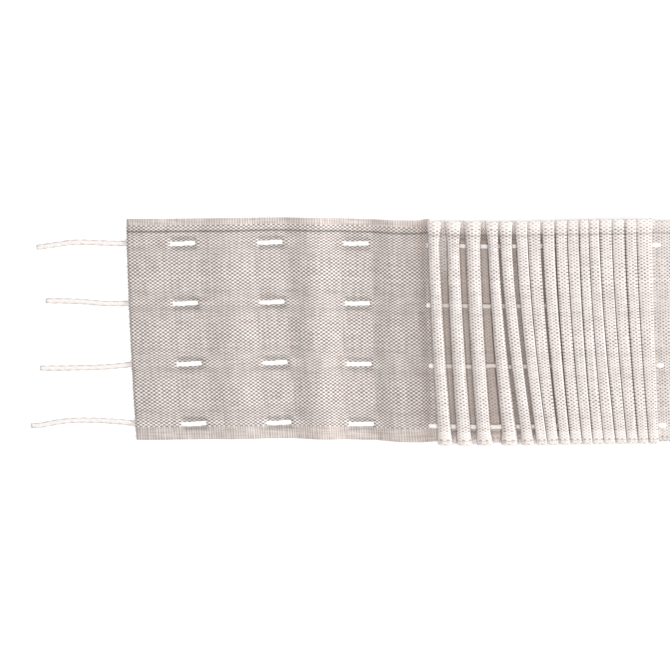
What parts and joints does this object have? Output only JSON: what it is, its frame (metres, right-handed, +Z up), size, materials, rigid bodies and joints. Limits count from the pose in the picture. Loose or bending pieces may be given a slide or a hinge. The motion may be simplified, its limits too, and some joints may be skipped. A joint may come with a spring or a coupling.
{
  "type": "length of curtain heading tape, partly gathered into pencil pleats",
  "caption": "Flat length of woven curtain heading tape, drawn up into upright pencil pleats along its draw cords, whose loose ends lie beyond the cut.",
  "frame": {"origin": "on the surface that the tape lies on, below the middle of the tape without its loose cord ends", "axes": "+X along the tape, from the loose cord ends towards the plain end; +Y across it, towards the header edge; +Z up, off the face side"},
  "size_m": [0.2835, 0.0858, 0.016],
  "materials": {
    "woven_tape": "matt plain weave of off-white yarn",
    "draw_cord": "soft twisted off-white cord"
  },
  "bodies": {
    "root": {"tape": "woven_tape", "draw_cord_1": "draw_cord", "draw_cord_1_end": "draw_cord", "draw_cord_2": "draw_cord", "draw_cord_2_end": "draw_cord", "draw_cord_3": "draw_cord", "draw_cord_3_end": "draw_cord", "draw_cord_4": "draw_cord", "draw_cord_4_end": "draw_cord"}
  },
  "joints": []
}
